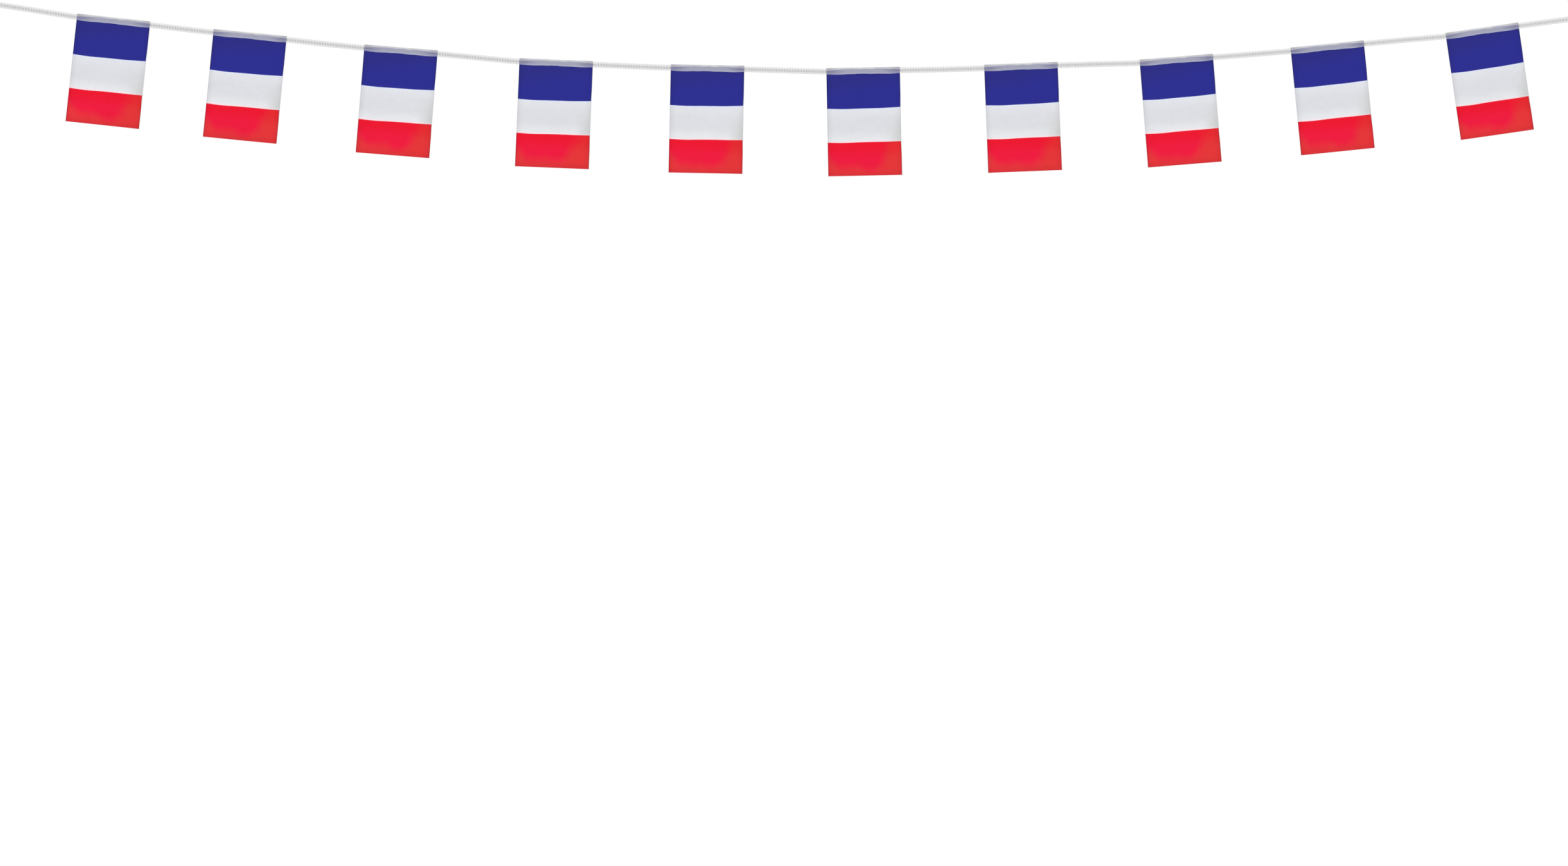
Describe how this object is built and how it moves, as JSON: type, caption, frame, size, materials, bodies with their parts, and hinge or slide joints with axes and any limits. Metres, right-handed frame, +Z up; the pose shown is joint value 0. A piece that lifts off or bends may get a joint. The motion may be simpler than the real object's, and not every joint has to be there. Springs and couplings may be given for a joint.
{
  "type": "flag bunting string",
  "caption": "Garland of small portrait cloth flags in blue, white and red bands, hemmed over a flat knitted tape that hangs in a shallow curve from a loop at each end.",
  "frame": {"origin": "inside of the left end loop's outer bend, where the hook that holds it bears", "axes": "+X along the string to the right, +Y through the flags to their back, +Z up"},
  "size_m": [3.4627, 0.0499, 0.3756],
  "materials": {
    "printed_cloth": "thin matt plain-weave polyester, printed in level bands of blue, white and red from the top down, its top hem left unprinted; the colour given here is the blue band's",
    "tape": "matt white knitted polyester tape, two raised edges joined by a ladder of small slanted bars",
    "sewing_thread": "white spun polyester thread with a low sheen"
  },
  "bodies": {
    "root": {"tape": "tape", "flag_01": "printed_cloth", "flag_02": "printed_cloth", "flag_03": "printed_cloth", "flag_04": "printed_cloth", "flag_05": "printed_cloth", "flag_06": "printed_cloth", "flag_07": "printed_cloth", "flag_08": "printed_cloth", "flag_09": "printed_cloth", "flag_10": "printed_cloth"}
  },
  "joints": []
}
